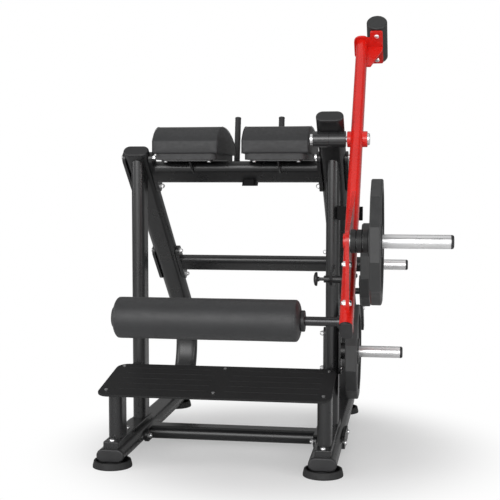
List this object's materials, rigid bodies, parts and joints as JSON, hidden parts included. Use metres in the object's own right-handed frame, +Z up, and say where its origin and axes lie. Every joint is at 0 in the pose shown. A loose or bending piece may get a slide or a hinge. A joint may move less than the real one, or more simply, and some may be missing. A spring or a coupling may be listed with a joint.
{
  "type": "leg press machine",
  "caption": "Standing leg machine: a padded roller on a counterbalanced swing arm loaded with plates, two hip pads, rear grips and a tilted step on a flat-oval tube frame.",
  "frame": {"origin": "centre of the bottom of the bounding box, on the floor under the machine", "axes": "+X to the side that carries the swing arm, +Y from the step to the rear, +Z up"},
  "size_m": [1.434, 2.0456, 1.9011],
  "materials": {
    "frame_paint": "satin charcoal powder coat",
    "arm_paint": "gloss red powder coat",
    "chrome": "bright plated steel",
    "steel": "bright drawn steel",
    "plate_iron": "satin black coating",
    "rubber": "matt black rubber",
    "caps": "satin black plastic",
    "vinyl": "black upholstery vinyl over foam",
    "board": "plywood wrapped in black vinyl"
  },
  "bodies": {
    "frame": {"left_frame_tube": "frame_paint", "right_frame_tube": "frame_paint", "left_upright": "frame_paint", "right_upright": "frame_paint", "left_front_leg": "frame_paint", "right_front_leg": "frame_paint", "base_rails": "frame_paint", "upper_crossbeam": "frame_paint", "middle_crossbeam": "frame_paint", "lower_crossbeam": "frame_paint", "clamp_plates": "frame_paint", "step_plate": "frame_paint", "step_frame": "frame_paint", "pad_brackets": "frame_paint", "handle_arm": "frame_paint", "pivot_housing": "frame_paint", "stop_bracket": "frame_paint", "pin_barrel": "frame_paint", "front_storage_horn": "frame_paint", "front_horn_backing": "frame_paint", "rear_horn_collar": "frame_paint", "plate_guard": "frame_paint", "frame_bolts": "chrome", "frame_nuts": "chrome", "step_screws": "chrome", "pad_bolts": "chrome", "foot_bolts": "chrome", "storage_tubes": "chrome", "pivot_bearings": "steel", "grip_posts": "steel", "feet": "rubber", "grip_sleeves": "rubber", "stop_bumper": "rubber", "tube_end_caps": "caps", "storage_caps": "caps", "left_hip_pad": "vinyl", "right_hip_pad": "vinyl", "left_pad_board": "board", "right_pad_board": "board"},
    "swing_arm": {"arm_tube": "arm_paint", "arm_gusset": "arm_paint", "pivot_hub": "arm_paint", "pivot_shaft": "steel", "pivot_caps": "chrome", "arm_end_cap": "caps", "counterweight_bracket": "arm_paint", "counterweight": "plate_iron", "arm_bolts": "chrome", "loading_sleeve": "chrome", "sleeve_rings": "rubber", "sleeve_cap": "caps", "roller_shaft": "steel"},
    "roller": {"roller_core": "caps", "roller_foam": "vinyl", "roller_caps": "caps"},
    "pull_pin": {"pull_pin": "steel", "pull_pin_knob": "caps"},
    "weight_plate": {"weight_plate": "plate_iron"},
    "front_stored_plate": {"front_stored_plate": "plate_iron"},
    "rear_stored_plate": {"rear_stored_plate": "plate_iron"}
  },
  "joints": [
    {"name": "arm_swing", "type": "hinge", "parent": "frame", "child": "swing_arm", "pos_m": [0.34, -0.15467, 1.341], "axis": [-1, 0, 0], "range_deg": [-36, 45]},
    {"name": "roller_spin", "type": "hinge", "parent": "swing_arm", "child": "roller", "pos_m": [-0.168, -0.76692, 0.66102], "axis": [1, 0, 0], "continuous": true},
    {"name": "pin_slide", "type": "slide", "parent": "frame", "child": "pull_pin", "axis": [1, 0, 0], "range_m": [0, 0.018]},
    {"name": "weight_plate_slide", "type": "slide", "parent": "swing_arm", "child": "weight_plate", "axis": [1, 0, 0], "range_m": [0, 0.24]},
    {"name": "front_plate_slide", "type": "slide", "parent": "frame", "child": "front_stored_plate", "axis": [1, 0, 0], "range_m": [0, 0.18]},
    {"name": "rear_plate_slide", "type": "slide", "parent": "frame", "child": "rear_stored_plate", "axis": [1, 0, 0], "range_m": [0, 0.17]}
  ]
}
